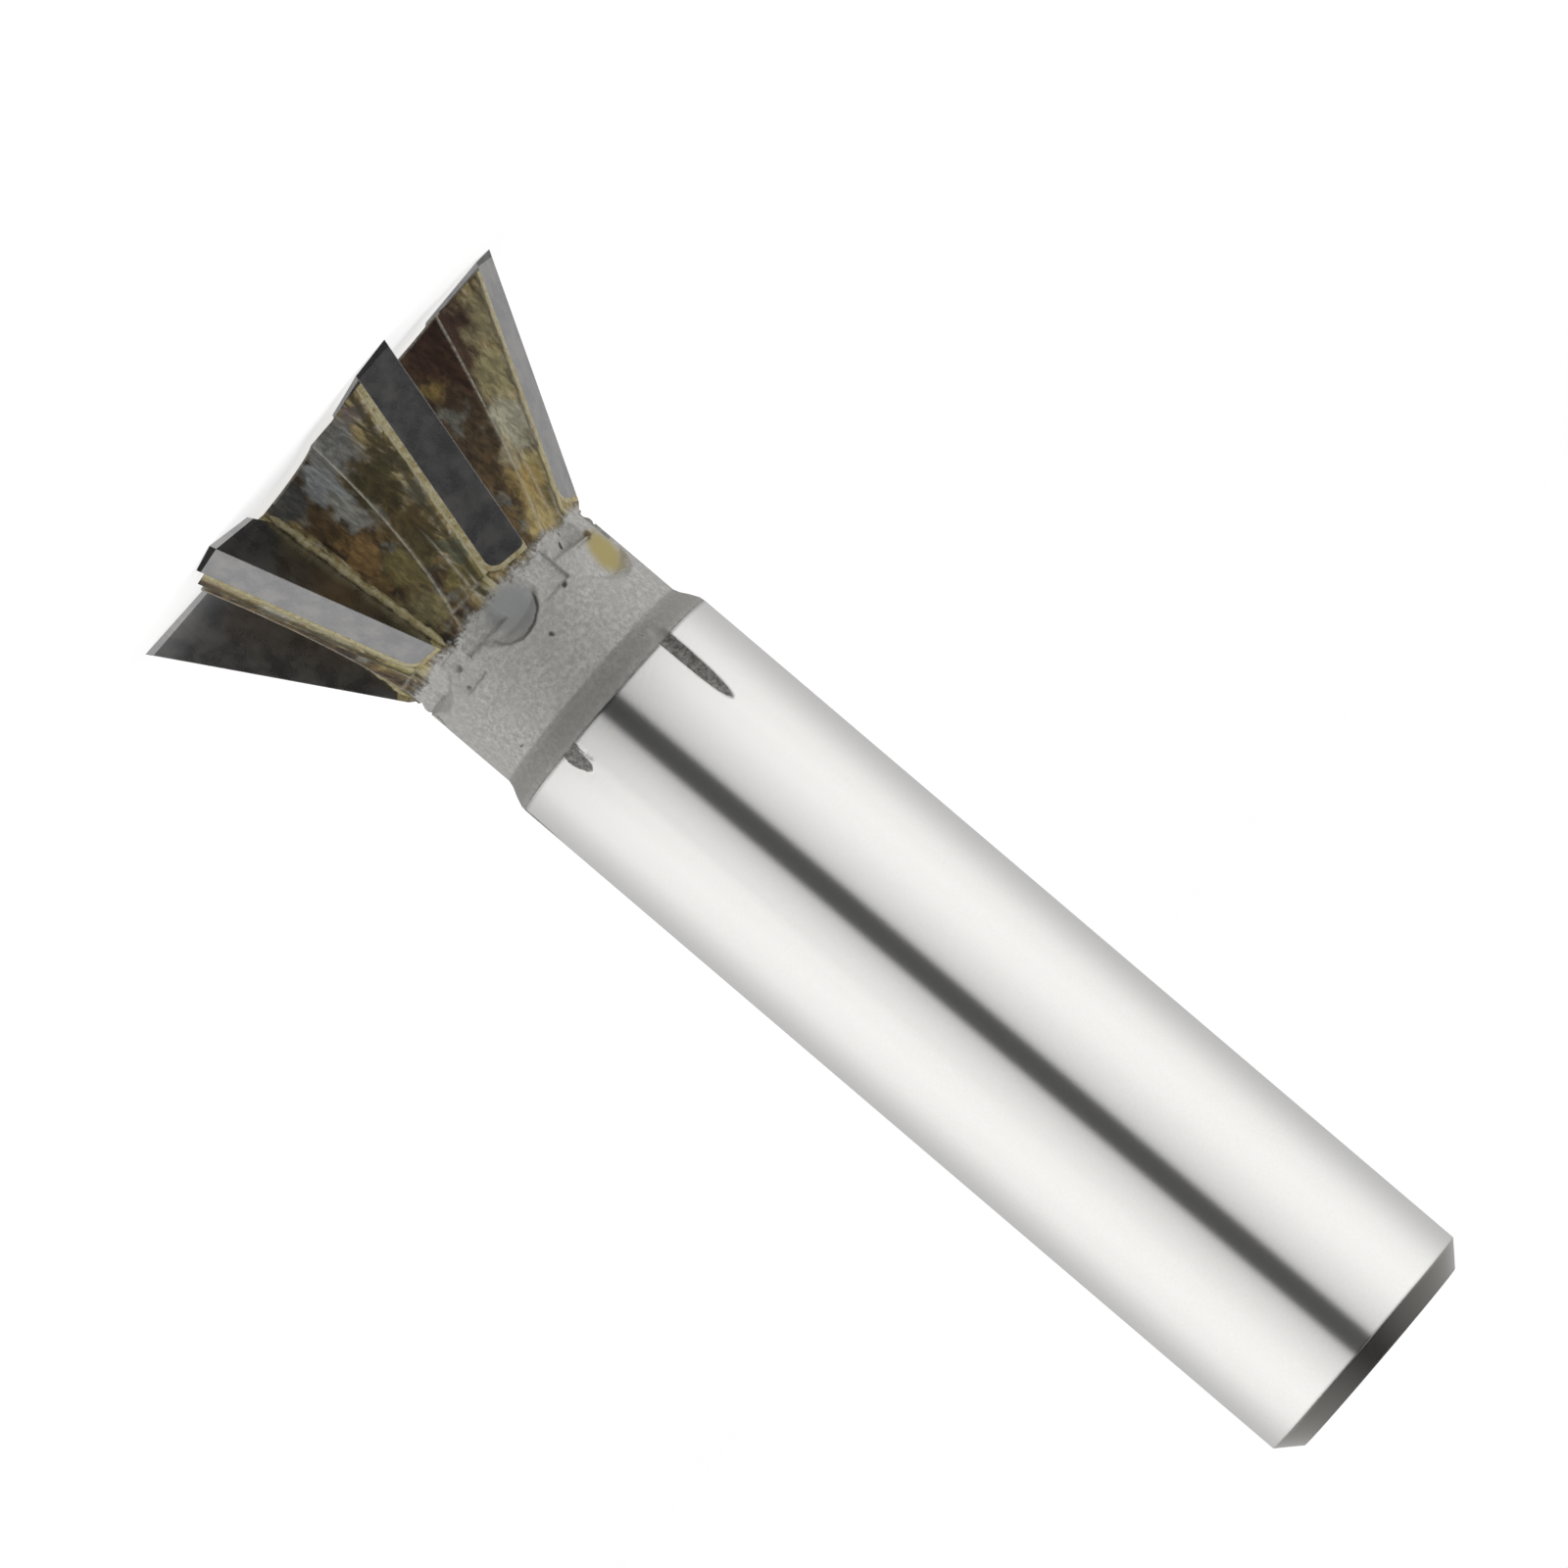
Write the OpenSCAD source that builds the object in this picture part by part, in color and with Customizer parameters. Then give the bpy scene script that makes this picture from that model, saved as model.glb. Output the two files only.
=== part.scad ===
// Dovetail milling cutter, 60 degree form, six seated carbide tips on a plain round shank.
// The cutter stands on its six cutting tips: z = 0 is the plane of the tips and the shank points up.
// Each tooth is drawn on the +X side, its rake face looks toward -Y, and copies turn about Z.

/* [Head] */
// Diameter over the six cutting tips
tip_d = 30.8; // [29:0.1:33]
// Angle between the cutting edge and the axis
flank_angle = 30; // [28:1:32]
// Height of the steel front face above the plane of the tips
front_gap = 0.6; // [0.4:0.02:1]
// Inward lean of the rake face, seen along the axis
radial_rake = 5; // [2:1:7]
// Fall of the land behind the cutting edge, seen along the axis
relief_angle = 20.5; // [16:0.5:22]

/* [Carbide tips] */
// Thickness of a tip, square to its rake face
tip_t = 2.35; // [1.8:0.05:2.6]
// Radius of a tip's back corner at its end
tip_end_r = 0.8; // [0.4:0.1:1.2]
// Radius of a tip's rake corner at its end
tip_nose_r = 0.4; // [0.2:0.1:0.6]
// Radius of the tip's inner long edge
tip_inner_r = 6.2; // [5.8:0.1:6.6]
// Radius at which the front edge of a tip ends and its inner bevel begins
tip_front_r = 9.6; // [9:0.1:11]
// Height at which the inner bevel reaches the inner long edge
tip_bevel_z = 2.9; // [1.6:0.1:3.4]
// Length of the cutting edge along the flank
edge_len = 15.2; // [14.8:0.05:15.4]
// Rise of the front edge from the outer corner to the inner bevel
tip_dish = 0.1; // [0.04:0.02:0.3]
// Thickness of the brazing layer behind and under a tip
braze_t = 0.3; // [0.2:0.02:0.4]

/* [Gullets] */
// Radius of the hollow in front of each rake face
gullet_r = 7; // [6.6:0.1:7.4]
// Floor radius of the hollow at the front face
gullet_floor_front = 7.9; // [7.6:0.05:8.1]
// Floor radius of the hollow where it runs out on the neck
gullet_floor_back = 7.08; // [6.95:0.01:7.2]
// Distance of the hollow's axis ahead of the cutting edge
gullet_lead = 1.1; // [0.8:0.05:1.4]
// Height at which the hollow starts to lift out of the neck
gullet_end_z = 14.6; // [14.3:0.1:15.2]
// Length of that lift
gullet_lift = 0.6; // [0.4:0.1:1]
// Direction of the flat tooth back, counted from the cutting edge
back_turn = 25.8; // [24:0.2:28]
// Distance of the flat tooth back from the axis, at the front face
back_r = 12; // [11.6:0.1:12.4]
// Slope of the flat tooth back
back_slope = 21.8; // [21:0.2:22.6]
// Width of the steel land that is left between the brazing and the tooth back
land_w = 0.45; // [0.3:0.05:0.8]
// Lean of the step between the land and the tooth back
back_wall = 10; // [0:1:20]

/* [Neck] */
// Diameter of the neck
neck_d = 14.6; // [14.4:0.1:15]
// Height at which the neck begins to swell to the shank
neck_end_z = 20.9; // [20:0.1:21.4]
// Length of the swell from neck to shank
shoulder_len = 1.9; // [1.6:0.1:3]
// Distance from the axis of the small flats milled on the neck, at their end
flat_r = 6.7; // [6.6:0.02:6.9]
// Slope of the small flats along the neck
flat_slope = 9; // [6:0.5:11]
// Radius of the round end of the small flats, at their floor
flat_end_r = 3.7; // [3.2:0.1:4.2]
// Lean of the wall round that end
flat_wall = 42; // [30:1:50]
// Direction of the small flats, counted from the cutting edge
flat_turn = 28.5; // [26:0.5:31]
// Distance from the axis of the shallow flat that the seat cutter left on the neck
run_out_r = 7.08; // [7:0.02:7.2]
// Height at which that flat ends
run_out_end_z = 16.25; // [15.8:0.05:16.7]
// Width of that flat on each side of the seat
run_out_side = 0.6; // [0.4:0.05:0.8]
// Height at which the teeth begin to fall to the neck
tooth_end_z = 13.45; // [13.3:0.05:13.7]
// Length of that fall
tooth_fall = 0.5; // [0.3:0.05:0.8]

/* [Shank] */
// Diameter of the shank
shank_d = 16; // [15:0.5:18]
// Overall length from the tips to the shank end
overall_len = 80.7; // [70:0.1:100]
// Chamfer at the shank end, across
chamfer_r = 1.3; // [0.8:0.1:1.6]
// Chamfer at the shank end, along
chamfer_z = 1.25; // [0.8:0.05:1.6]
// Diameter of the centre holes' pilots in both ends
centre_d = 2.5; // [2:0.1:3]
// Mouth diameter of the centre holes
centre_mouth_d = 5.3; // [4.6:0.1:6]
// Depth of the centre holes
centre_depth = 5.5; // [5:0.1:6.5]
// Radius of the wheel that left a groove in the shank behind each tooth
groove_wheel_r = 34; // [28:1:40]
// Radius of the rim of that wheel
groove_rim_r = 0.6; // [0.55:0.05:0.8]
// Sideways place of the groove ahead of the cutting edge
groove_lead = 1.2; // [0.9:0.05:1.5]

/* [Hidden] */
tooth_count = 6;
tooth_step = 360 / tooth_count;
tip_r = tip_d / 2;
neck_r = neck_d / 2;
shank_r = shank_d / 2;
// Tooth numbers 1 to 6 stand at 0, 60, 120, 180, 240 and 300 degrees.
// Length of the groove in the shank behind each tooth.
groove_lens = [3.6, 4.8, 3.1, 4.2, 5.7, 2.8];
// Height at which the floor of the small flat on the neck ends, in the gap behind each tooth.
flat_ends = [15.4, 16.1, 15.2, 17.9, 15.85, 15.1];
// Length of the small flat on the neck, in the gap behind each tooth.
flat_lens = [2.6, 3.1, 2.4, 2.5, 3.3, 2.3];
// Radius of the head's cone where the teeth end.
tooth_end_r = tip_r - tooth_end_z * tan(flank_angle);
neck_start_z = tooth_end_z - 0.2;
shoulder_z = neck_end_z + shoulder_len;
centre_angle = 60;
drill_angle = 118;
// Turn of the rake face about the cutting edge.
rake_turn = atan(tan(radial_rake) / cos(flank_angle));
// Relief measured square to the cutting edge.
relief_turn = atan(tan(relief_angle) * cos(flank_angle));
// Size of the blocks that stand for half of space.
far = 40;
// Overshoot of a cut past the face it opens.
over = 2;
seat_inner_r = tip_inner_r - braze_t;
bevel_slope = (tip_bevel_z - tip_dish) / (tip_front_r - tip_inner_r);
// Distance along the axis by which the seat's bevel lies in front of the tip's bevel.
bevel_shift = braze_t * sqrt(1 + bevel_slope * bevel_slope);
gullet_tilt = atan((gullet_floor_front - gullet_floor_back) / (gullet_end_z - front_gap));

$fn = 96;

// Point of the rake plane at radius r and height z, in the frame of the cutting edge.
function rake_point(r, z) = [
    -((tip_r - r) * cos(flank_angle) - z * sin(flank_angle)) / cos(rake_turn),
    (tip_r - r) * sin(flank_angle) + z * cos(flank_angle)
];

// Point of the rake plane at radius r on the line that runs square to the edge at length run.
function end_point(r, run) = [
    -((tip_r - r) - run * sin(flank_angle)) / cos(flank_angle) / cos(rake_turn),
    run
];

// Copies a child to the place of tooth number n, counted from 1.
module at_tooth(n) {
    rotate([0, 0, (n - 1) * tooth_step])
        children();
}

// Frame of the cutting edge: Z runs up the flank, X points out square to it.
module edge_frame() {
    translate([tip_r, 0, 0])
        rotate([0, -flank_angle, 0])
            children();
}

// Frame of the rake face: as the cutting edge's frame, with Y square to the rake face.
module rake_frame() {
    edge_frame()
        rotate([0, 0, -rake_turn])
            children();
}

// Plate that lies behind the rake face, from depth_a to depth_b.
module rake_plate(points, depth_a, depth_b) {
    rake_frame()
        translate([0, depth_b, 0])
            rotate([90, 0, 0])
                linear_extrude(depth_b - depth_a)
                    polygon(points);
}

// Space outside the ground land of a tooth.
module above_land() {
    edge_frame()
        rotate([0, 0, relief_turn])
            translate([0, -far, -far])
                cube([far, 2 * far, 2 * far]);
}

// Outline of the carbide tip, its outer side carried past the flank.
function tip_points() = [
    rake_point(tip_r, 0),
    rake_point(tip_front_r, tip_dish),
    rake_point(tip_inner_r, tip_bevel_z),
    end_point(tip_inner_r, edge_len),
    [0, edge_len]
];

// Outline of the milled seat, open toward the flank and the front.
function seat_points() = [
    rake_point(tip_r + over, -over),
    rake_point(tip_front_r + (over - bevel_shift) / bevel_slope, tip_dish - over),
    rake_point(seat_inner_r, tip_bevel_z - bevel_shift + braze_t * bevel_slope),
    end_point(seat_inner_r, edge_len + braze_t),
    [over, edge_len + braze_t]
];

// What a rounding of radius r takes off the corner of a plate that ends at run and depth.
module end_corner(run, depth, r) {
    translate([-far, depth - r, run - r])
        difference() {
            cube([2 * far, r + over, r + over]);
            rotate([0, 90, 0])
                cylinder(h = 2 * far, r = r);
        }
}

// A plate with both corners rounded off at its end.
module tip_plate(depth_a) {
    difference() {
        rake_plate(tip_points(), depth_a, tip_t);
        rake_frame() {
            end_corner(edge_len, tip_t, tip_end_r);
            mirror([0, 1, 0])
                end_corner(edge_len, 0, tip_nose_r);
        }
    }
}

// One carbide tip: a flat plate with a ground land.
module tip_solid() {
    difference() {
        tip_plate(0);
        above_land();
    }
}

// The milled seat of a tip, open toward the gullet and the flank.
module seat_cut() {
    difference() {
        rake_plate(seat_points(), 0, tip_t + braze_t);
        rake_frame()
            end_corner(edge_len + braze_t, tip_t + braze_t, tip_end_r + braze_t);
    }
}

// The brazing layer: what is left of the seat around the tip.
module braze_solid() {
    difference() {
        seat_cut();
        tip_plate(-over);
        above_land();
        translate([-far, -far, front_gap - far])
            cube([2 * far, 2 * far, far]);
    }
}

// The hollow in front of a rake face, with its lift out of the neck.
module gullet_cut() {
    intersection() {
        translate([gullet_floor_front + gullet_r, -gullet_lead, front_gap])
            rotate([0, -gullet_tilt, 0]) {
                translate([0, 0, -over])
                    cylinder(h = gullet_end_z - front_gap + over, r = gullet_r);
                translate([0, 0, gullet_end_z - front_gap])
                    cylinder(h = gullet_lift, r1 = gullet_r, r2 = gullet_r - gullet_lift * tan(flank_angle));
            }
        rake_frame()
            translate([-far, -far, -far])
                cube([2 * far, far, 2 * far]);
    }
}

// The flat back of a tooth, stepped down from a narrow land that runs along the brazing.
module back_cut() {
    intersection() {
        rotate([0, 0, back_turn])
            translate([back_r, 0, front_gap])
                rotate([0, -back_slope, 0])
                    translate([0, -far, -2 * over])
                        cube([far, 2 * far, tooth_end_z + 3 * over]);
        rake_frame()
            translate([0, tip_t + braze_t + land_w, -far])
                rotate([0, 0, -back_wall])
                    translate([-far, 0, 0])
                        cube([2 * far, far, 2 * far]);
    }
}

// A small flat milled on the neck at the end of a gap, with a round end and a sloped wall.
module neck_flat(end_z, len) {
    rotate([0, 0, flat_turn])
        translate([flat_r, 0, end_z])
            rotate([0, -flat_slope, 0])
                intersection() {
                    translate([0, 0, -flat_end_r])
                        rotate([0, 90, 0])
                            cylinder(h = over, r1 = flat_end_r, r2 = flat_end_r + over * tan(flat_wall));
                    translate([0, -tip_r, -len])
                        cube([over, tip_d, len + over]);
                }
}

// The shallow flat that the seat cutter left on the neck past the end of a tooth.
module seat_run_out() {
    translate([run_out_r, -run_out_side, tooth_end_z + tooth_fall])
        cube([over, tip_t + braze_t + 2 * run_out_side, run_out_end_z - tooth_end_z - tooth_fall]);
}

// The pointed groove that a round-rimmed wheel left where it reached the shank.
module shank_groove(len) {
    depth = len * len / (2 * groove_wheel_r);
    translate([shank_r - depth + groove_wheel_r, -groove_lead, shoulder_z])
        rotate([90, 0, 0])
            rotate_extrude()
                translate([groove_wheel_r - groove_rim_r, 0])
                    circle(r = groove_rim_r);
}

// Cone of the head, with the land of every tooth ground on it.
module head_blank() {
    difference() {
        rotate_extrude()
            polygon([
                [0, front_gap],
                [tip_r - front_gap * tan(flank_angle), front_gap],
                [tooth_end_r, tooth_end_z],
                [gullet_floor_back, tooth_end_z + tooth_fall],
                [0, tooth_end_z + tooth_fall]
            ]);
        for (n = [1 : tooth_count])
            at_tooth(n)
                above_land();
    }
}

// Neck, shoulder and shank turned in one.
module neck_and_shank() {
    rotate_extrude()
        polygon([
            [0, neck_start_z],
            [neck_r, neck_start_z],
            [neck_r, neck_end_z],
            [neck_r + (shank_r - neck_r) * 0.19, neck_end_z + shoulder_len * 0.22],
            [neck_r + (shank_r - neck_r) * 0.6, neck_end_z + shoulder_len * 0.5],
            [neck_r + (shank_r - neck_r) * 0.93, neck_end_z + shoulder_len * 0.78],
            [shank_r, shoulder_z],
            [shank_r, overall_len - chamfer_z],
            [shank_r - chamfer_r, overall_len],
            [0, overall_len]
        ]);
}

// A centre hole that goes up into a face at z = 0, with a 60 degree mouth.
module centre_hole() {
    rotate_extrude()
        polygon([
            [0, -over],
            [centre_mouth_d / 2, -over],
            [centre_mouth_d / 2, 0],
            [centre_d / 2, (centre_mouth_d - centre_d) / 2 / tan(centre_angle / 2)],
            [centre_d / 2, centre_depth],
            [0, centre_depth + centre_d / 2 / tan(drill_angle / 2)]
        ]);
}

// The one-piece steel body.
module cutter_body() {
    color([0.62, 0.62, 0.61])
        difference() {
            union() {
                head_blank();
                neck_and_shank();
            }
            translate([0, 0, front_gap])
                centre_hole();
            translate([0, 0, overall_len])
                mirror([0, 0, 1])
                    centre_hole();
            for (n = [1 : tooth_count])
                at_tooth(n) {
                    seat_cut();
                    gullet_cut();
                    back_cut();
                    neck_flat(flat_ends[n - 1], flat_lens[n - 1]);
                    seat_run_out();
                    shank_groove(groove_lens[n - 1]);
                }
        }
}

// A carbide tip in its seat.
module carbide_tip(n) {
    color([0.25, 0.25, 0.26])
        at_tooth(n)
            tip_solid();
}

// The brazing around a tip.
module braze_joint(n) {
    color([0.72, 0.66, 0.45])
        at_tooth(n)
            braze_solid();
}

cutter_body();
carbide_tip(1);  // carbide_tip_1
carbide_tip(2);  // carbide_tip_2
carbide_tip(3);  // carbide_tip_3
carbide_tip(4);  // carbide_tip_4
carbide_tip(5);  // carbide_tip_5
carbide_tip(6);  // carbide_tip_6
braze_joint(1);  // braze_joint_1
braze_joint(2);  // braze_joint_2
braze_joint(3);  // braze_joint_3
braze_joint(4);  // braze_joint_4
braze_joint(5);  // braze_joint_5
braze_joint(6);  // braze_joint_6
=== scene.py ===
"""Dresses the dovetail cutter: camera, studio, floor, brazing beads, and a finish for every piece."""

import math

import bpy
from mathutils import Matrix, Vector, noise
from mathutils.bvhtree import BVHTree


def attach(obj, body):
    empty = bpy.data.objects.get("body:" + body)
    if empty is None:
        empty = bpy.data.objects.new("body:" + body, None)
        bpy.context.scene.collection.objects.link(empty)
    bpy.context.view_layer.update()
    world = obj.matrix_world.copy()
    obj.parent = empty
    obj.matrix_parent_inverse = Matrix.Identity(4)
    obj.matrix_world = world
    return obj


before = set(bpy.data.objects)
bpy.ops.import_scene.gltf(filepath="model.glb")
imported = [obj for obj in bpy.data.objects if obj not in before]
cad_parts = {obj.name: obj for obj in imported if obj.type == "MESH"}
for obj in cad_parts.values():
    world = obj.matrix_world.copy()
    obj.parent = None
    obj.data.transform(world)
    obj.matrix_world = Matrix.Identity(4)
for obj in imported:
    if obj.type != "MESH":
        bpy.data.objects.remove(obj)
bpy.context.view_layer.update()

MM = 0.001

# The camera, as the photograph was taken: a long lens, a little above the head, rolled to the right.
CAMERA_DISTANCE = 0.7095
CAMERA_AZIMUTH = math.radians(-1.34)
CAMERA_ELEVATION = math.radians(2.60)
CAMERA_ROLL = math.radians(40.417)
CAMERA_FIELD = math.radians(7.31)
AIM_HEIGHT = 33.1 * MM
AIM_ASIDE = 2.88 * MM

# The cutter's own sizes that the finishes follow, in millimetres and degrees, as in the CAD.
TEETH = 6
TIP_RADIUS = 15.4
FLANK_SLOPE = math.tan(math.radians(30))
RAKE_LEAN = math.radians(5)
TIP_THICKNESS = 2.35
BRAZE_THICKNESS = 0.3
GROUND_START = 22.74
SHANK_RADIUS = 8.0
CHAMFER_START = 79.45


def tint(red, green, blue):
    """A colour as the photograph shows it, 0 to 255, for a node's socket."""
    return tuple((c / 12.92 if c <= 0.04045 else ((c + 0.055) / 1.055) ** 2.4)
                 for c in (red / 255, green / 255, blue / 255)) + (1,)


class Paint:
    """One node material, with short names for the nodes it is made of."""

    def __init__(self, name):
        self.material = bpy.data.materials.new(name)
        self.material.use_nodes = True
        self.tree = self.material.node_tree
        self.shader = self.tree.nodes["Principled BSDF"]
        place = self.node("ShaderNodeTexCoord", {}).outputs["Object"]
        self.place = self.vector("SCALE", place, scale=1 / MM)
        split = self.node("ShaderNodeSeparateXYZ", {"Vector": self.place})
        self.x, self.y, self.z = split.outputs

    def feed(self, socket, value):
        if isinstance(value, bpy.types.NodeSocket):
            self.tree.links.new(value, socket)
        else:
            socket.default_value = value

    def node(self, kind, inputs, **settings):
        node = self.tree.nodes.new(kind)
        for name, value in settings.items():
            setattr(node, name, value)
        for socket, value in inputs.items():
            self.feed(node.inputs[socket], value)
        return node

    def maths(self, operation, first, second=0.0, third=0.0):
        node = self.node("ShaderNodeMath", {0: first, 1: second, 2: third}, operation=operation)
        return node.outputs[0]

    def vector(self, operation, first, second=None, scale=None):
        node = self.node("ShaderNodeVectorMath", {0: first}, operation=operation)
        if second is not None:
            self.feed(node.inputs[1], second)
        if scale is not None:
            self.feed(node.inputs["Scale"], scale)
        return node.outputs["Value" if operation in ("LENGTH", "DISTANCE") else "Vector"]

    def step(self, value, low, high, start=0.0, end=1.0):
        """Goes smoothly from start to end while value goes from low to high."""
        node = self.node(
            "ShaderNodeMapRange",
            {"Value": value, "From Min": low, "From Max": high, "To Min": start, "To Max": end},
            interpolation_type="SMOOTHSTEP",
        )
        return node.outputs["Result"]

    def between(self, value, low, high, soft):
        """1 where value lies from low to high, with soft edges."""
        rise = self.step(value, low - soft, low + soft)
        return self.maths("MULTIPLY", rise, self.step(value, high - soft, high + soft, 1.0, 0.0))

    def mix(self, factor, first, second):
        node = self.node("ShaderNodeMix", {0: factor, 6: first, 7: second}, data_type="RGBA")
        return node.outputs[2]

    def blend(self, factor, first, second):
        return self.node("ShaderNodeMix", {0: factor, 2: first, 3: second}, data_type="FLOAT").outputs[0]

    def noise(self, scale, detail=4.0, rough=0.55, place=None, distort=0.0, output="Fac"):
        node = self.node("ShaderNodeTexNoise", {
            "Vector": place or self.place, "Scale": scale, "Detail": detail,
            "Roughness": rough, "Distortion": distort,
        })
        return node.outputs[output]

    def spot(self, place, centre, radius):
        """1 at the centre, falling off to 0 at the radius."""
        away = self.vector("DISTANCE", place, centre)
        return self.step(away, radius * 0.45, radius * 1.05, 1.0, 0.0)

    def rounded(self, width):
        """The normal on edges that are rounded off."""
        return self.node("ShaderNodeBevel", {"Radius": width * MM}, samples=4).outputs["Normal"]

    def edge(self, soft):
        """1 at sharp edges, 0 on flats, from how far a rounded normal leans from the face's own."""
        flat = self.node("ShaderNodeNewGeometry", {}).outputs["Normal"]
        return self.step(self.vector("DISTANCE", soft, flat), 0.20, 0.42)

    def surface(self, relief, height, soft):
        """The bump of the relief, over the rounded normal."""
        bump = self.node("ShaderNodeBump", {
            "Height": relief, "Distance": height * MM, "Strength": 1.0, "Normal": soft,
        })
        self.feed(self.shader.inputs["Normal"], bump.outputs["Normal"])

    def finish(self, colour, metal, rough):
        self.feed(self.shader.inputs["Base Color"], colour)
        self.feed(self.shader.inputs["Metallic"], metal)
        self.feed(self.shader.inputs["Roughness"], rough)
        return self.material


# Heat and flux stains that the photograph shows, some mixed with painted light and shade, each a place in
# millimetres, a reach and a colour.
STAINS_AND_PAINTED_SHADING = (
    # The gap behind tooth 4: brown and pitted, with yellow and grey patches, and its yellow neck flat.
    ((-12.0, -3.6, 2.4), 1.8, (150, 140, 104)),
    ((-10.0, -3.8, 5.2), 2.0, (150, 142, 104)),
    ((-8.4, -3.9, 7.8), 1.8, (176, 172, 150)),
    ((-7.5, -3.3, 11.2), 1.9, (178, 164, 112)),
    ((-9.8, -5.2, 1.0), 3.4, (66, 44, 34)),
    ((-8.2, -5.2, 3.2), 2.8, (72, 50, 36)),
    ((-6.7, -5.3, 5.9), 2.4, (84, 68, 48)),
    ((-6.9, -5.3, 3.2), 1.1, (128, 108, 60)),
    ((-6.6, -5.3, 5.2), 1.0, (112, 110, 100)),
    ((-6.2, -5.2, 9.0), 1.9, (88, 70, 44)),
    ((-7.2, -4.6, 9.0), 1.4, (160, 148, 118)),
    ((-6.6, -4.5, 11.0), 1.7, (160, 138, 86)),
    ((-5.8, -4.6, 12.8), 1.8, (168, 150, 100)),
    ((-6.6, -3.1, 13.4), 1.5, (160, 142, 92)),
    # The gap behind tooth 5: grey at the front, olive and golden brown along the heel; its pale grey by the ridge is
    # partly painted light, and its dark brown beside tooth 6's plate is partly painted shade.
    ((-1.2, -10.3, 4.6), 2.2, (74, 66, 38)),
    ((-2.6, -11.2, 4.4), 1.8, (72, 66, 40)),
    ((-0.6, -9.2, 7.7), 2.0, (88, 74, 44)),
    ((-0.3, -8.6, 9.2), 1.6, (78, 70, 42)),
    ((-2.0, -10.5, 6.9), 1.1, (122, 118, 102)),
    ((-0.9, -8.7, 10.5), 1.1, (104, 108, 88)),
    ((-0.5, -7.9, 12.0), 1.4, (124, 114, 70)),
    ((-1.0, -11.6, 1.4), 2.3, (120, 120, 116)),
    ((-2.9, -13.0, 1.3), 1.1, (116, 104, 98)),
    ((0.8, -9.2, 2.4), 2.1, (146, 150, 150)),
    ((1.2, -8.6, 4.6), 1.5, (150, 150, 142)),
    ((3.2, -7.2, 1.1), 1.8, (88, 88, 84)),
    ((2.8, -7.2, 3.6), 1.3, (96, 78, 52)),
    ((2.5, -7.3, 6.4), 1.5, (140, 112, 70)),
    ((1.7, -7.7, 8.8), 1.8, (118, 108, 68)),
    ((3.1, -6.8, 8.4), 1.0, (112, 90, 56)),
    ((2.8, -6.8, 11.2), 1.7, (124, 116, 80)),
    ((3.1, -6.5, 13.4), 0.9, (46, 40, 30)),
    # The heel of tooth 6: rough tan and brown, yellower towards the neck.
    ((10.6, -9.6, 1.8), 2.2, (150, 128, 106)),
    ((8.4, -8.1, 5.2), 1.6, (176, 170, 152)),
    ((7.2, -6.6, 8.6), 1.6, (160, 152, 122)),
    ((6.4, -4.7, 12.0), 1.6, (170, 160, 106)),
)


# Marks on the blasted neck: a smooth flat, a yellow stain with its dark rim, and pits.
NECK_MARKS = (
    ((-0.4, -6.9, 14.9), 1.9, (172, 174, 173)),
    ((-6.2, -2.5, 16.6), 1.9, (190, 176, 120)),
    ((-6.6, -3.2, 15.3), 0.5, (112, 98, 58)),
    ((3.3, -6.5, 14.9), 0.34, (120, 118, 112)),
    ((4.2, -6.0, 14.9), 0.34, (124, 122, 116)),
    ((3.6, -6.4, 15.9), 0.30, (126, 124, 118)),
    ((4.6, -5.7, 15.9), 0.30, (120, 118, 112)),
    ((-3.6, -6.4, 16.4), 0.30, (84, 82, 76)),
    ((-1.0, -7.3, 17.7), 0.26, (96, 94, 90)),
)


def head_colour(paint, torn, depth, local_y):
    """The stained head: brown gullets, tan heels beside the brazing, the stains above, some with painted light and
    shade, and a band of painted shade behind the brazing line.
    """
    broad = paint.noise(0.55, 3.0)
    drawn = paint.vector("MULTIPLY", paint.place, (1, 1, 0.4))
    middle = paint.noise(1.3, 4.0, 0.55, place=drawn, distort=0.8)
    fine = paint.noise(3.0, 3.0, 0.5, place=drawn, distort=0.5)
    gullet = paint.mix(paint.step(middle, 0.38, 0.66), tint(58, 44, 32), tint(112, 92, 56))
    gullet = paint.mix(paint.step(broad, 0.52, 0.68), gullet, tint(124, 124, 114))
    heel = paint.mix(paint.step(middle, 0.40, 0.62), tint(104, 88, 52), tint(176, 158, 112))
    heel = paint.mix(paint.step(fine, 0.50, 0.70, 0.0, 0.7), heel, tint(182, 180, 166))
    deep = paint.step(paint.maths("ADD", local_y, paint.maths("MULTIPLY", middle, 1.4)), 4.3, 5.1)
    colour = paint.mix(deep, heel, gullet)
    for centre, radius, shown in STAINS_AND_PAINTED_SHADING:
        colour = paint.mix(paint.spot(torn, centre, radius), colour, tint(*shown))
    blotch = paint.step(fine, 0.36, 0.66, 0.72, 1.22)
    colour = paint.vector("SCALE", colour, scale=blotch)
    line = TIP_THICKNESS + BRAZE_THICKNESS
    smear = paint.between(paint.maths("ADD", depth, paint.maths("MULTIPLY", fine, 0.3)), line, line + 0.3, 0.06)
    colour = paint.mix(paint.maths("MULTIPLY", smear, 0.85), colour, tint(192, 184, 150))
    # Painted shade: a dark olive band behind the brazing line, where the heel steps down.
    shade = paint.between(paint.maths("ADD", depth, paint.maths("MULTIPLY", middle, 0.5)), line + 0.62, line + 1.0, 0.12)
    return paint.mix(paint.maths("MULTIPLY", shade, 0.8), colour, tint(66, 60, 38))


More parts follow.
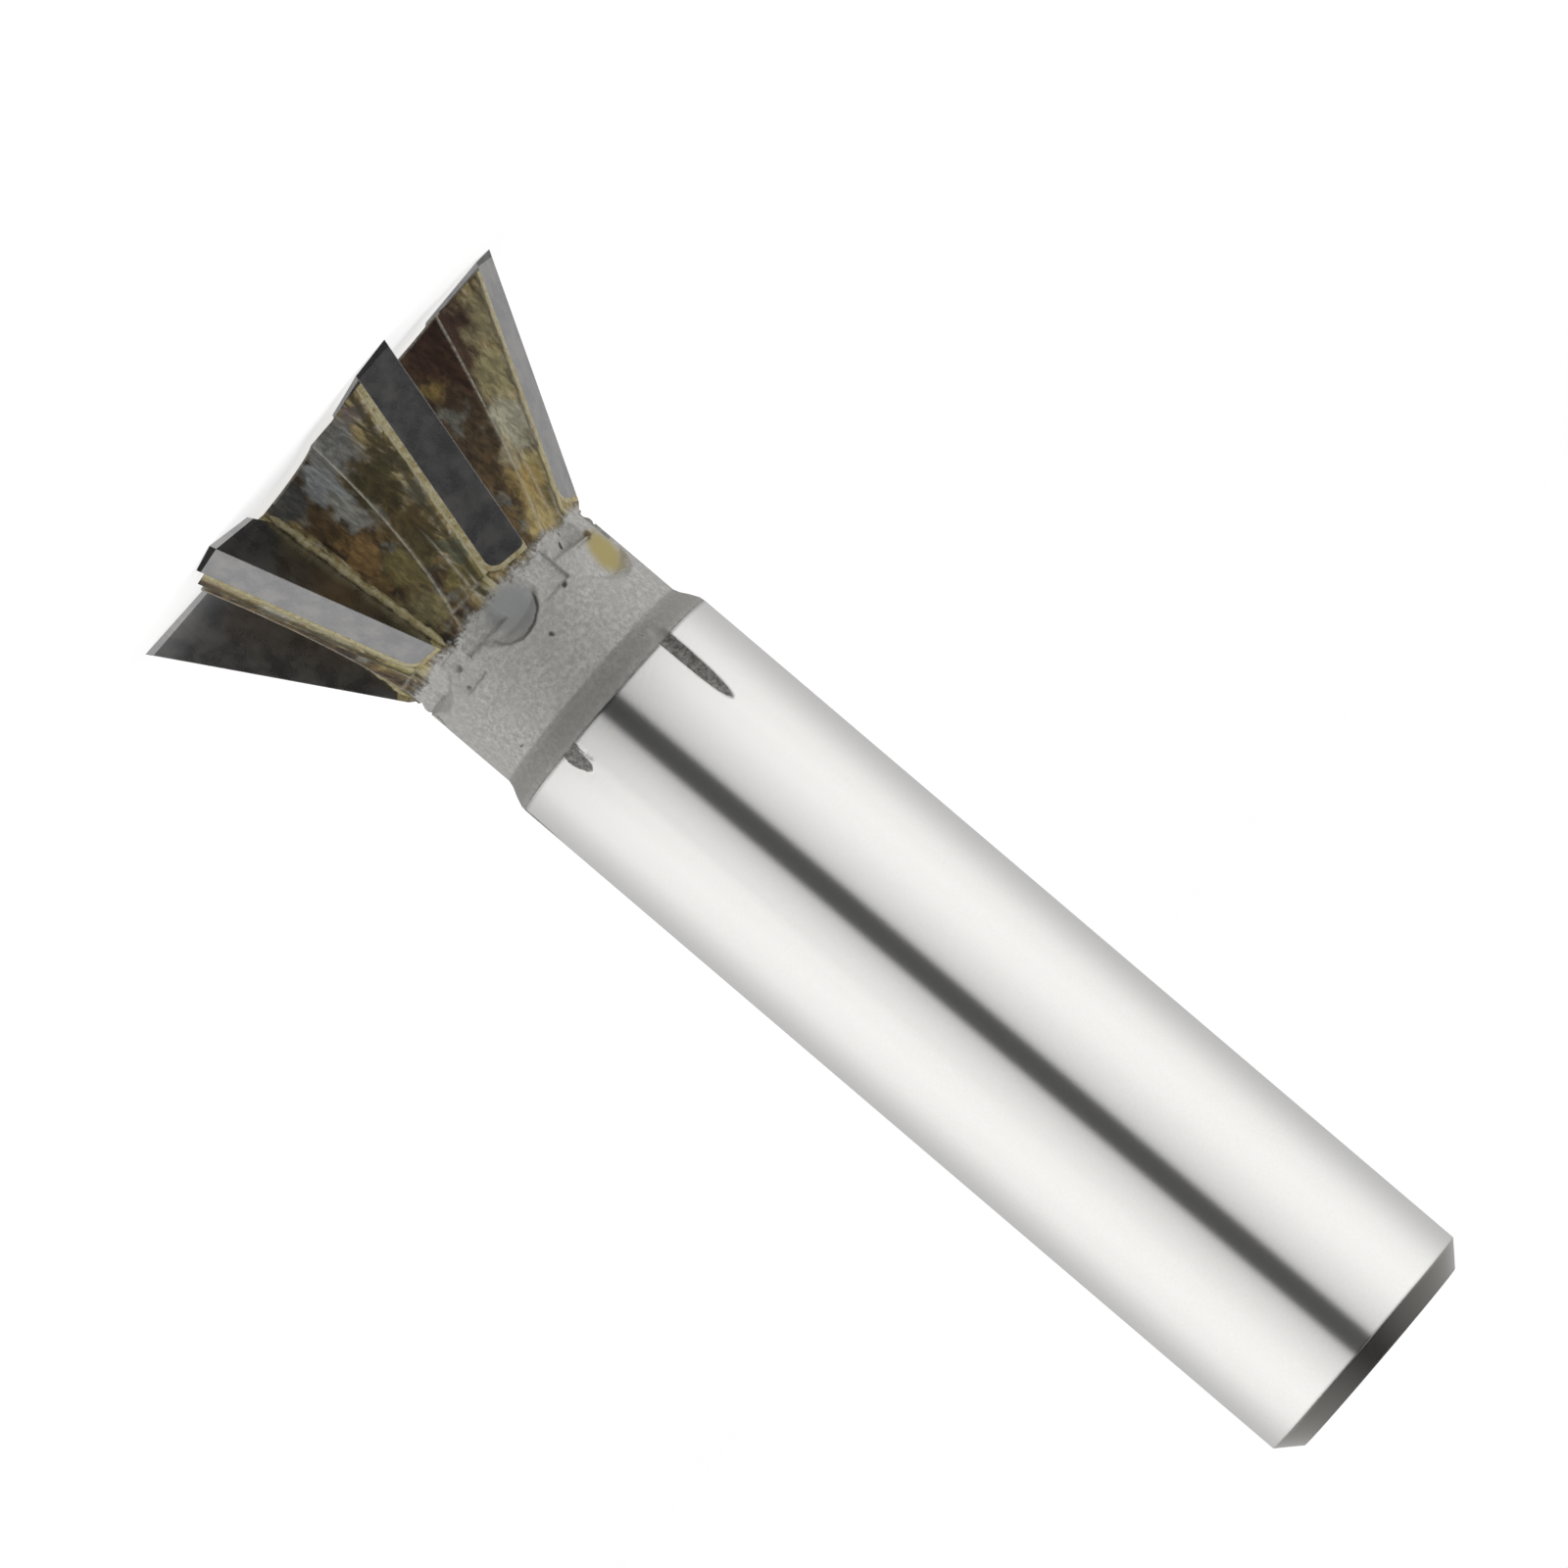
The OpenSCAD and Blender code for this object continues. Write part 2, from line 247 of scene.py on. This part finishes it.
def body_material():
    """Ground shank, sandblasted neck and grooves, and a head stained by the brazing, with painted shade in a crevice
    and behind the brazing, and pale edges that are partly painted highlight.
    """
    paint = Paint("cutter_steel")
    radius = paint.vector("LENGTH", paint.vector("MULTIPLY", paint.place, (1, 1, 0)))
    warp = paint.noise(0.8, 3.0, 0.5, output="Color")
    warp = paint.vector("SUBTRACT", warp, (0.5, 0.5, 0.5))
    torn = paint.vector("ADD", paint.place, paint.vector("SCALE", warp, scale=3.2))
    frayed = paint.vector("ADD", paint.place, paint.vector("SCALE", warp, scale=0.7))
    angle = paint.maths("ARCTAN2", paint.y, paint.x)
    lead = math.radians(2)
    turn = paint.maths("FLOORED_MODULO", paint.maths("ADD", angle, lead), 2 * math.pi / TEETH)
    turn = paint.maths("SUBTRACT", turn, lead)
    local_x = paint.maths("MULTIPLY", radius, paint.maths("COSINE", turn))
    local_y = paint.maths("MULTIPLY", radius, paint.maths("SINE", turn))
    flank = paint.maths("MULTIPLY_ADD", paint.z, -FLANK_SLOPE, TIP_RADIUS)
    lean = paint.maths("MULTIPLY", paint.maths("SUBTRACT", flank, local_x), -math.tan(RAKE_LEAN))
    depth = paint.maths("ADD", local_y, lean)

    grain = paint.noise(7.0, 3.0, 0.7)
    speckle = paint.noise(3.2, 5.0, 0.75)
    cloud = paint.noise(0.5, 3.0)
    blast = paint.mix(paint.step(speckle, 0.36, 0.66), tint(180, 179, 175), tint(218, 217, 213))
    blast = paint.mix(paint.step(cloud, 0.35, 0.7, 0.0, 0.5), blast, tint(196, 193, 189))
    band = paint.maths("MULTIPLY", paint.between(paint.z, 20.95, GROUND_START, 0.12), 0.55)
    blast = paint.mix(band, blast, tint(156, 154, 150))
    pits = paint.step(paint.noise(0.9, 2.0, 0.4), 0.72, 0.76)
    blast = paint.mix(pits, blast, tint(92, 88, 80))

    stained = head_colour(paint, torn, depth, local_y)
    ragged = paint.maths("MULTIPLY_ADD", speckle, 1.6, paint.maths("MULTIPLY", cloud, 1.2))
    head = paint.step(paint.maths("ADD", paint.z, ragged), 14.7, 15.3, 1.0, 0.0)
    for centre, radius_of, shown in NECK_MARKS:
        blast = paint.mix(paint.spot(frayed, centre, radius_of), blast, tint(*shown))
    # Painted shade: a dark arc in the crevice at the end of the smooth flat, on the -Y side and fading towards +X.
    ring = paint.vector("MULTIPLY", paint.vector("SUBTRACT", frayed, (-0.15, 0, 14.6)), (1, 0, 1))
    crevice_shade = paint.between(paint.vector("LENGTH", ring), 1.86, 2.06, 0.07)
    crevice_shade = paint.maths("MULTIPLY", crevice_shade, paint.step(paint.x, -0.6, 1.6, 0.85, 0.3))
    crevice_shade = paint.maths("MULTIPLY", crevice_shade, paint.step(paint.z, 15.0, 15.6))
    crevice_shade = paint.maths("MULTIPLY", crevice_shade, paint.maths("LESS_THAN", paint.y, 0.0))
    blast = paint.mix(crevice_shade, blast, tint(74, 72, 68))
    colour = paint.mix(head, blast, stained)

    ground = paint.maths("GREATER_THAN", radius, SHANK_RADIUS - 0.02)
    ground = paint.maths("MULTIPLY", ground, paint.between(paint.z, GROUND_START, CHAMFER_START, 0.03))
    short_groove = paint.vector("MULTIPLY", paint.vector("SUBTRACT", frayed, (3.5, 0, 22.9)), (2.0, 0, 0.6))
    short_groove = paint.step(paint.vector("LENGTH", short_groove), 0.9, 1.05, 1.0, 0.0)
    short_groove = paint.maths("MULTIPLY", short_groove, paint.maths("LESS_THAN", paint.y, 0.0))
    ground = paint.maths("MULTIPLY", ground, paint.maths("SUBTRACT", 1.0, short_groove))
    brush = paint.noise(5.0, 4.0, 0.7, place=paint.vector("MULTIPLY", paint.place, (1, 1, 9)))
    steel = paint.mix(paint.step(brush, 0.3, 0.7), tint(241, 240, 237), tint(250, 249, 247))
    colour = paint.mix(ground, colour, steel)
    chamfer = paint.step(paint.z, CHAMFER_START - 0.02, CHAMFER_START + 0.02)
    colour = paint.mix(chamfer, colour, tint(196, 192, 187))
    groove = paint.maths("MULTIPLY", paint.step(paint.z, GROUND_START - 0.1, GROUND_START), paint.maths("SUBTRACT", 1.0, ground))
    groove = paint.maths("MULTIPLY", groove, paint.maths("SUBTRACT", 1.0, chamfer))
    colour = paint.mix(groove, colour, paint.mix(paint.step(speckle, 0.35, 0.65), tint(112, 108, 104), tint(172, 170, 167)))

    soft = paint.rounded(0.3)
    # Pale edges, partly wear and partly painted highlight; on the head only edges from about 26 degrees behind each
    # rake get it, which paints the highlight along the ridge.
    wear_and_highlight = paint.edge(soft)
    wear_and_highlight = paint.maths("MULTIPLY", wear_and_highlight, paint.step(speckle, 0.36, 0.54, 0.4, 1.0))
    ridge_highlight = paint.step(turn, math.radians(25), math.radians(27))
    colour = paint.mix(
        paint.maths("MULTIPLY", wear_and_highlight, paint.blend(head, 0.15, paint.maths("MULTIPLY", ridge_highlight, 0.9))),
        colour, tint(208, 204, 188))

    metal = paint.maths("MAXIMUM", paint.maths("MAXIMUM", ground, chamfer), paint.blend(head, 0.62, 0.3))
    rough = paint.blend(head, 0.5, paint.step(speckle, 0.3, 0.7, 0.38, 0.62))
    rough = paint.blend(ground, rough, paint.step(brush, 0.3, 0.7, 0.10, 0.15))
    rough = paint.blend(chamfer, rough, 0.22)
    rise = paint.maths("ADD", paint.maths("MULTIPLY", grain, 0.5), paint.maths("MULTIPLY", speckle, 1.0))
    lumps = paint.maths("MULTIPLY", paint.noise(1.5, 4.0, 0.6), 2.2)
    rise = paint.maths("ADD", rise, paint.maths("MULTIPLY", lumps, head))
    quiet = paint.maths("MAXIMUM", ground, chamfer)
    rise = paint.maths("MULTIPLY", rise, paint.maths("MULTIPLY_ADD", quiet, -0.985, 1.0))
    paint.surface(rise, 0.07, soft)
    return paint.finish(colour, metal, rough)


def carbide_material():
    """Ground carbide: dark, with fine grinding lines and bright edges that are partly wear and partly painted
    highlight.
    """
    paint = Paint("ground_carbide")
    lines = paint.noise(9.0, 3.0, 0.7, place=paint.vector("MULTIPLY", paint.place, (1, 1, 0.12)))
    cloud = paint.noise(0.7, 4.0)
    colour = paint.mix(paint.step(cloud, 0.3, 0.7), tint(158, 158, 160), tint(182, 180, 178))
    colour = paint.mix(paint.step(lines, 0.4, 0.75, 0.0, 0.35), colour, tint(140, 140, 142))
    soft = paint.rounded(0.06)
    # Pale edges, partly wear and partly painted highlight.
    wear_and_highlight = paint.maths("MULTIPLY", paint.edge(soft), paint.step(lines, 0.35, 0.6, 0.3, 0.9))
    colour = paint.mix(wear_and_highlight, colour, tint(206, 204, 200))
    rough = paint.step(cloud, 0.3, 0.7, 0.24, 0.34)
    paint.surface(lines, 0.006, soft)
    return paint.finish(colour, 1.0, rough)


def braze_material():
    """Brazing filler: dull pale tan with brassy and dark flecks."""
    paint = Paint("brazing_filler")
    lumps = paint.noise(2.6, 5.0, 0.65)
    fleck = paint.noise(6.0, 3.0, 0.6)
    colour = paint.mix(paint.step(lumps, 0.36, 0.64), tint(176, 162, 116), tint(206, 198, 164))
    colour = paint.mix(paint.step(fleck, 0.58, 0.74, 0.0, 0.7), colour, tint(112, 98, 64))
    rough = paint.step(lumps, 0.3, 0.7, 0.42, 0.62)
    paint.surface(paint.maths("ADD", lumps, fleck), 0.06, paint.rounded(0.06))
    return paint.finish(colour, 0.55, rough)


def dress(name, material):
    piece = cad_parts[name]
    piece.data.materials.clear()
    piece.data.materials.append(material)


def camera_axes():
    """The camera's direction from the object, and its right and up before the roll."""
    back = Vector((
        math.sin(CAMERA_AZIMUTH) * math.cos(CAMERA_ELEVATION),
        -math.cos(CAMERA_AZIMUTH) * math.cos(CAMERA_ELEVATION),
        math.sin(CAMERA_ELEVATION),
    ))
    right = Vector((math.cos(CAMERA_AZIMUTH), math.sin(CAMERA_AZIMUTH), 0))
    return back, right, back.cross(right)


def add_camera():
    back, right, up = camera_axes()
    aim = Vector((0, 0, AIM_HEIGHT)) - right * AIM_ASIDE
    rolled_right = up * math.cos(CAMERA_ROLL) - right * math.sin(CAMERA_ROLL)
    rolled_up = -up * math.sin(CAMERA_ROLL) - right * math.cos(CAMERA_ROLL)
    data = bpy.data.cameras.new("camera")
    data.angle = CAMERA_FIELD
    data.clip_start = 0.01
    data.clip_end = 20
    camera = bpy.data.objects.new("camera", data)
    bpy.context.scene.collection.objects.link(camera)
    turn = Matrix((rolled_right, rolled_up, back)).transposed().to_4x4()
    camera.matrix_world = Matrix.Translation(aim + back * CAMERA_DISTANCE) @ turn
    bpy.context.scene.camera = camera


def add_floor():
    mesh = bpy.data.meshes.new("floor")
    half = 4.0
    mesh.from_pydata([(-half, -half, 0), (half, -half, 0), (half, half, 0), (-half, half, 0)], [], [(0, 1, 2, 3)])
    floor = bpy.data.objects.new("floor", mesh)
    bpy.context.scene.collection.objects.link(floor)
    material = bpy.data.materials.new("floor")
    material.use_nodes = True
    shader = material.node_tree.nodes["Principled BSDF"]
    shader.inputs["Base Color"].default_value = (0.5, 0.5, 0.5, 1)
    shader.inputs["Roughness"].default_value = 0.9
    shader.inputs["Specular IOR Level"].default_value = 0.0
    shader.inputs["Emission Color"].default_value = (1, 1, 1, 1)
    shader.inputs["Emission Strength"].default_value = 0.72
    mesh.materials.append(material)


def add_world():
    """White for the camera and in reflections, dimmer where it only lights dull surfaces."""
    world = bpy.data.worlds.new("studio")
    bpy.context.scene.world = world
    world.use_nodes = True
    tree = world.node_tree
    back = tree.nodes["Background"]
    back.inputs["Color"].default_value = (1, 1, 1, 1)
    path = tree.nodes.new("ShaderNodeLightPath")
    seen = tree.nodes.new("ShaderNodeMath")
    seen.operation = "MAXIMUM"
    tree.links.new(path.outputs["Is Camera Ray"], seen.inputs[0])
    tree.links.new(path.outputs["Is Glossy Ray"], seen.inputs[1])
    clear = tree.nodes.new("ShaderNodeMath")
    clear.operation = "MAXIMUM"
    tree.links.new(seen.outputs[0], clear.inputs[0])
    tree.links.new(path.outputs["Is Transmission Ray"], clear.inputs[1])
    strength = tree.nodes.new("ShaderNodeMapRange")
    strength.inputs["To Min"].default_value = 0.55
    strength.inputs["To Max"].default_value = 1.0
    tree.links.new(clear.outputs[0], strength.inputs["Value"])
    tree.links.new(strength.outputs["Result"], back.inputs["Strength"])


def add_lamp(name, azimuth, lift, size, energy):
    """A soft box on a ring about the cutter, aimed at its middle."""
    data = bpy.data.lights.new(name, "AREA")
    data.shape = "SQUARE"
    data.size = size
    data.energy = energy
    lamp = bpy.data.objects.new(name, data)
    bpy.context.scene.collection.objects.link(lamp)
    way = Vector((math.cos(azimuth), math.sin(azimuth), lift)).normalized()
    lamp.location = way * 1.3 + Vector((0, 0, 0.03))
    lamp.rotation_euler = way.to_track_quat("Z", "Y").to_euler()
    lamp.visible_camera = False
    lamp.visible_glossy = False


def card(name, rows, faces, glow):
    """A studio card that only reflections see. Each point is a place and how bright it is, 0 to 1."""
    mesh = bpy.data.meshes.new(name)
    mesh.from_pydata([place for place, level in rows], [], faces)
    levels = mesh.attributes.new("level", "FLOAT", "POINT")
    for index, (place, level) in enumerate(rows):
        levels.data[index].value = level
    material = bpy.data.materials.new(name)
    material.use_nodes = True
    tree = material.node_tree
    tree.nodes.clear()
    output = tree.nodes.new("ShaderNodeOutputMaterial")
    light = tree.nodes.new("ShaderNodeEmission")
    reach = tree.nodes.new("ShaderNodeAttribute")
    reach.attribute_name = "level"
    shade = tree.nodes.new("ShaderNodeMix")
    shade.data_type = "RGBA"
    shade.inputs[6].default_value = glow
    shade.inputs[7].default_value = (1, 1, 1, 1)
    tree.links.new(reach.outputs["Fac"], shade.inputs[0])
    tree.links.new(shade.outputs[2], light.inputs["Color"])
    tree.links.new(light.outputs["Emission"], output.inputs["Surface"])
    mesh.materials.append(material)
    piece = bpy.data.objects.new(name, mesh)
    bpy.context.scene.collection.objects.link(piece)
    piece.visible_camera = False
    piece.visible_diffuse = False
    piece.visible_transmission = False
    piece.visible_volume_scatter = False
    piece.visible_shadow = False


def grid(columns, rows):
    """The faces of a sheet of points, laid row after row."""
    return [(r * columns + c, r * columns + c + 1, (r + 1) * columns + c + 1, (r + 1) * columns + c)
            for r in range(rows - 1) for c in range(columns - 1)]


def ring_point(reach, azimuth, height):
    """A place about the cutter; azimuth 0 faces the camera and grows towards +X."""
    turn = azimuth + CAMERA_AZIMUTH
    return (reach * math.sin(turn), -reach * math.cos(turn), height)


def tent_level(azimuth):
    """How bright the tent is on each side, in degrees from the camera: dark there, brightest beside."""
    stops = ((0, 0.075), (7, 0.085), (9, 0.11), (11, 0.4), (14.5, 0.6), (22, 0.73), (34, 0.84), (50, 0.96),
             (70, 1.0), (95, 0.92), (117, 0.72), (135, 0.6), (150, 0.55), (182, 0.5))
    away = abs(azimuth - 1.3)
    for (low, first), (high, last) in zip(stops, stops[1:]):
        if away <= high:
            return first + (last - first) * (away - low) / (high - low)
    return stops[-1][1]


def add_tent():
    """The photographer's tent, that only reflections see: grey behind, dark above and at the camera."""
    turns = list(range(-180, -20, 10)) + [-21, -17, -13, -11.5, -10, -8.5, -7, -5, 0, 5, 7, 8.5, 10, 12, 14, 16, 19] + list(range(25, 181, 5))
    # Each row of the tent: its distance, its height, and how much of the wall's light its sides and front keep.
    profile = (
        (0.003, 0.0004, 0.40, 0.06), (0.020, 0.0004, 0.40, 0.06), (0.034, 0.0004, 0.50, 0.05), (0.30, 0.0006, 0.55, 0.06), (0.30, 0.001, 1.0, 1.0), (0.30, 0.12, 1.0, 1.0),
        (0.30, 0.20, 0.86, 0.35), (0.20, 0.30, 0.45, 0.045), (0.002, 0.34, 0.05, 0.05),
    )
    rows = []
    for reach, height, sides, front in profile:
        for azimuth in turns:
            ahead = max(0.0, min(1.0, (100 - abs(azimuth)) / 40))
            keep = sides + (front - sides) * ahead
            level = tent_level(azimuth) * keep
            rows.append((ring_point(reach, math.radians(azimuth), height), level))
    card("tent", rows, grid(len(turns), len(profile)), (0, 0, 0, 1))


def corner_line():
    """Where the gullet floor of tooth 1 meets its rake face, found on the CAD body: points in metres."""
    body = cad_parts["cutter_body"]
    tree = BVHTree.FromPolygons([v.co[:] for v in body.data.vertices],
                                [p.vertices[:] for p in body.data.polygons])
    points = []
    for step in range(64):
        height = 0.9 + step * 0.2
        near = 8.0
        for again in range(3):
            flank = TIP_RADIUS - height * FLANK_SLOPE
            aside = (flank - near) * math.tan(RAKE_LEAN) - 0.16
            start = Vector((flank + 1.0, aside, height)) * MM
            hit = tree.ray_cast(start, Vector((-1, 0, 0)))[0]
            if hit is None:
                break
            near = hit.x / MM
        if hit is not None:
            points.append(Vector((near * MM, aside * MM, height * MM)))
    return points


def add_beads(material):
    """The rough line of filler in the corner of each gullet, at the foot of the rake face."""
    line = corner_line()
    sides = 10
    for tooth in range(TEETH):
        turn = Matrix.Rotation(math.radians(60 * tooth), 3, "Z")
        rows = []
        for index, centre in enumerate(line):
            centre = turn @ centre
            out = turn @ Vector((1, 0, 0))
            side = turn @ Vector((0, -1, 0))
            ends = min(1.0, (index + 0.3) / 3, (len(line) - index - 0.7) / 3)
            for k in range(sides):
                around = 2 * math.pi * k / sides
                ray = out * math.cos(around) + side * math.sin(around)
                place = centre + ray * 0.3 * MM
                lump = noise.fractal(place * 1400, 0.9, 2.0, 4) * 0.16
                swell = noise.noise(centre * 420) * 0.12
                rows.append(centre + ray * max(0.08, (0.27 + lump + swell)) * ends * MM)
        count = len(line)
        faces = [(r * sides + k, r * sides + (k + 1) % sides, (r + 1) * sides + (k + 1) % sides, (r + 1) * sides + k)
                 for r in range(count - 1) for k in range(sides)]
        faces.append(tuple(range(sides))[::-1])
        faces.append(tuple((count - 1) * sides + k for k in range(sides)))
        mesh = bpy.data.meshes.new("braze_bead_%d" % (tooth + 1))
        mesh.from_pydata(rows, [], faces)
        mesh.materials.append(material)
        for polygon in mesh.polygons:
            polygon.use_smooth = True
        bead = bpy.data.objects.new(mesh.name, mesh)
        bpy.context.scene.collection.objects.link(bead)
        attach(bead, "root")


add_camera()
add_world()
add_floor()
add_lamp("left_box", math.radians(180), 0.25, 1.5, 6.5)
add_lamp("right_box", math.radians(0), 0.25, 1.5, 6.5)
add_tent()
steel = body_material()
carbide = carbide_material()
braze = braze_material()
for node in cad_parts:
    dress(node, carbide if node.startswith("carbide") else braze if node.startswith("braze") else steel)
add_beads(braze)
bpy.context.scene.view_settings.view_transform = "Standard"
